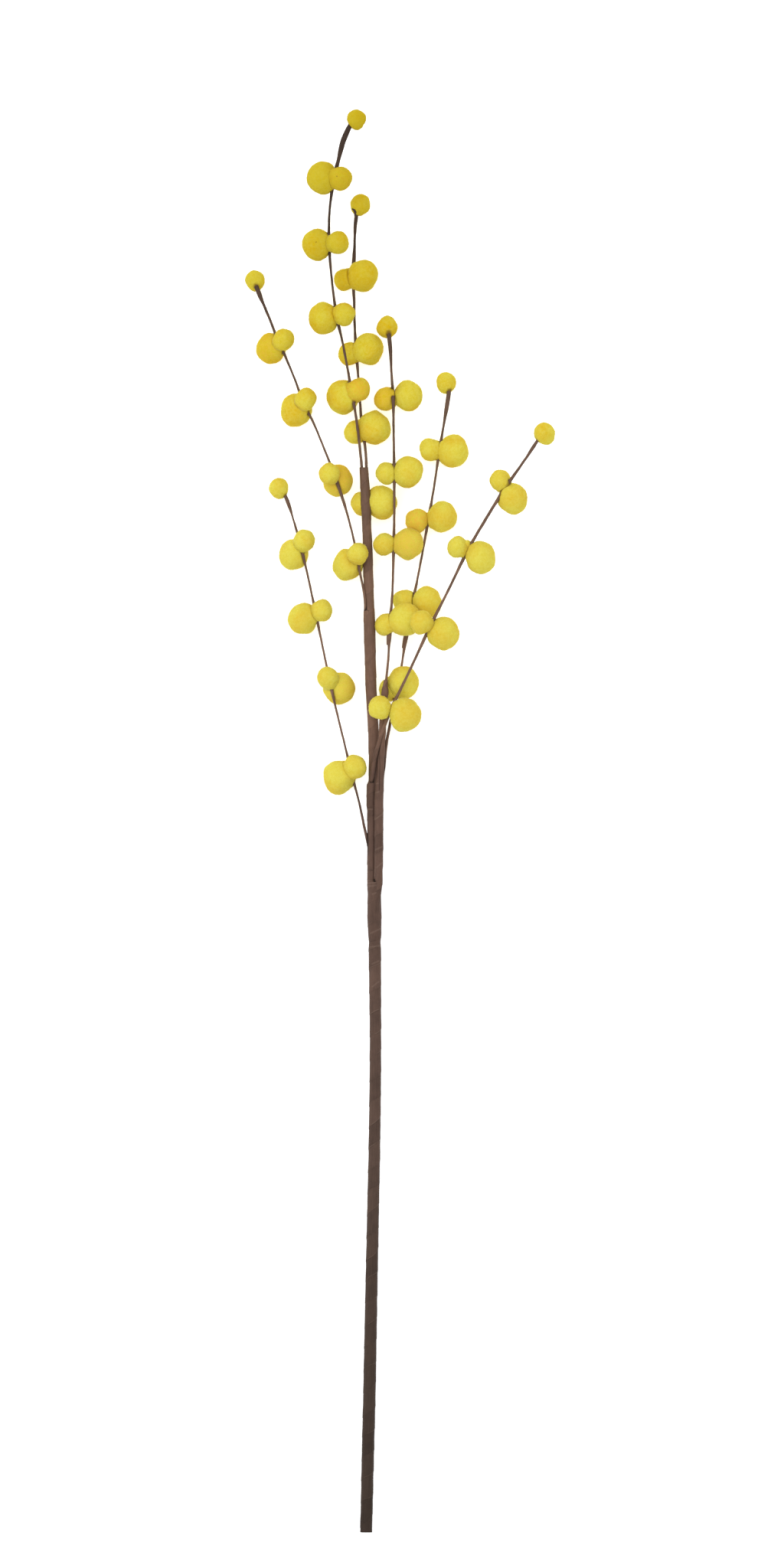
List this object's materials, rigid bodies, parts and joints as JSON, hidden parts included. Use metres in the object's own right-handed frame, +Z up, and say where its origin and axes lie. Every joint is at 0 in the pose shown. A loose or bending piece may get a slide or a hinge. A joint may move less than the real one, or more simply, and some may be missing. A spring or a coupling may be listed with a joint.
{
  "type": "artificial catkin branch",
  "caption": "Long tape-wound wire stem with thin side branches that carry yellow plush balls in pairs, one large and one small, and a single ball at each tip. It lies on its back.",
  "frame": {"origin": "on the surface that the branch lies on, under the middle of its outline seen from above", "axes": "+Y from the cut end of the stem towards the tips, +Z up from the surface, +X to the right of the branch seen from above"},
  "size_m": [0.2072, 0.9478, 0.0519],
  "materials": {
    "plush": "ball of soft yellow fibre, trimmed short, warmer yellow in patches",
    "tape": "matt brown waxed paper tape, wound in a spiral",
    "steel": "dull drawn wire, seen at the cut end only"
  },
  "bodies": {
    "root": {"main_stem": "tape", "core_wire": "steel", "side_stem": "tape", "branch_wire_a": "tape", "branch_wire_b": "tape", "branch_wire_c": "tape", "branch_wire_d": "tape", "branch_wire_e": "tape", "branch_wire_f": "tape", "branch_wire_g": "tape", "ball_pair_a1": "plush", "ball_pair_a2": "plush", "ball_pair_a3": "plush", "ball_pair_a4": "plush", "ball_pair_b1": "plush", "ball_pair_b2": "plush", "ball_pair_b3": "plush", "ball_pair_b4": "plush", "ball_pair_c1": "plush", "ball_pair_c2": "plush", "ball_pair_c3": "plush", "ball_pair_c4": "plush", "ball_pair_d1": "plush", "ball_pair_d2": "plush", "ball_pair_d3": "plush", "ball_pair_d4": "plush", "ball_pair_e1": "plush", "ball_pair_e2": "plush", "ball_pair_e3": "plush", "ball_pair_e4": "plush", "ball_pair_f1": "plush", "ball_pair_f2": "plush", "ball_pair_f3": "plush", "ball_pair_f4": "plush", "ball_pair_g1": "plush", "ball_pair_g2": "plush", "ball_pair_g3": "plush", "ball_pair_g4": "plush", "tip_ball_a": "plush", "tip_ball_b": "plush", "tip_ball_c": "plush", "tip_ball_d": "plush", "tip_ball_e": "plush", "tip_ball_f": "plush", "tip_ball_g": "plush"}
  },
  "joints": []
}
